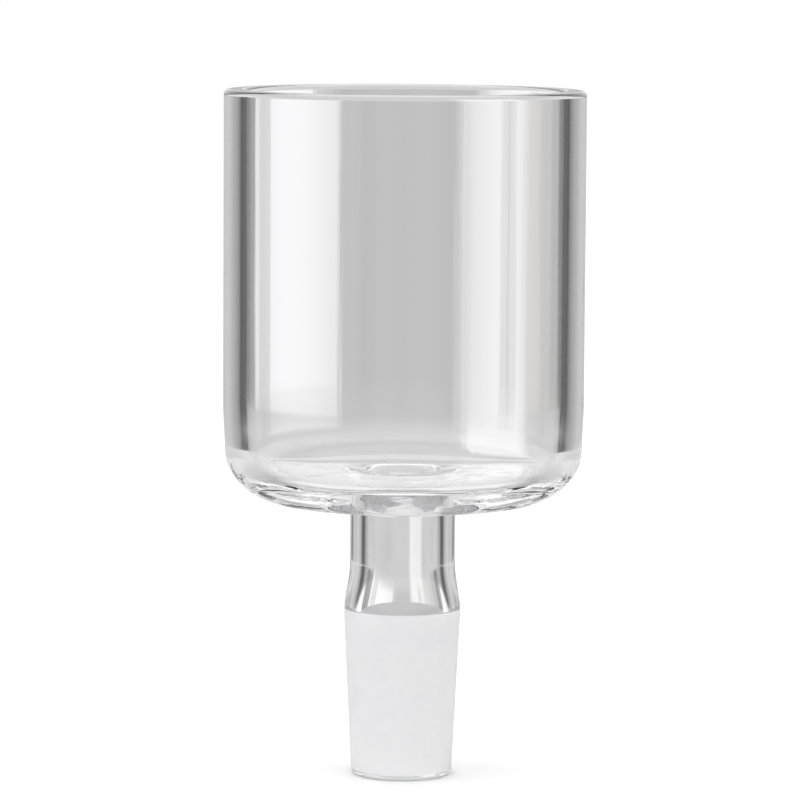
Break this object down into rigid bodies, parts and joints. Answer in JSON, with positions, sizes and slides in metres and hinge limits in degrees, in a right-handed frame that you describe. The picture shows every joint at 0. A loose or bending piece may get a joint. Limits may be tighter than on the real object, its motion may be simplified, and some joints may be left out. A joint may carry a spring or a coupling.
{
  "type": "glass cup with ground cone",
  "caption": "Heavy-wall clear glass cup, open at the top, with a flared drain in its thick base and a short neck that ends in a frosted 1:10 ground cone.",
  "frame": {"origin": "on the axis at the gauge plane of the ground cone, where the cone has its large diameter", "axes": "+Z along the axis of revolution, from the cone up through the neck and out of the cup's mouth; X and Y are equivalent"},
  "size_m": [0.058, 0.058, 0.1105],
  "materials": {
    "clear_glass": "flame-polished",
    "ground_glass": "fine ground, matt white"
  },
  "bodies": {
    "root": {"cup_rim": "clear_glass", "cup_wall": "clear_glass", "cup_base": "clear_glass", "neck_seal": "clear_glass", "neck_tube": "clear_glass", "cone_shoulder": "clear_glass", "ground_cone": "ground_glass", "cone_tip": "clear_glass"}
  },
  "joints": []
}
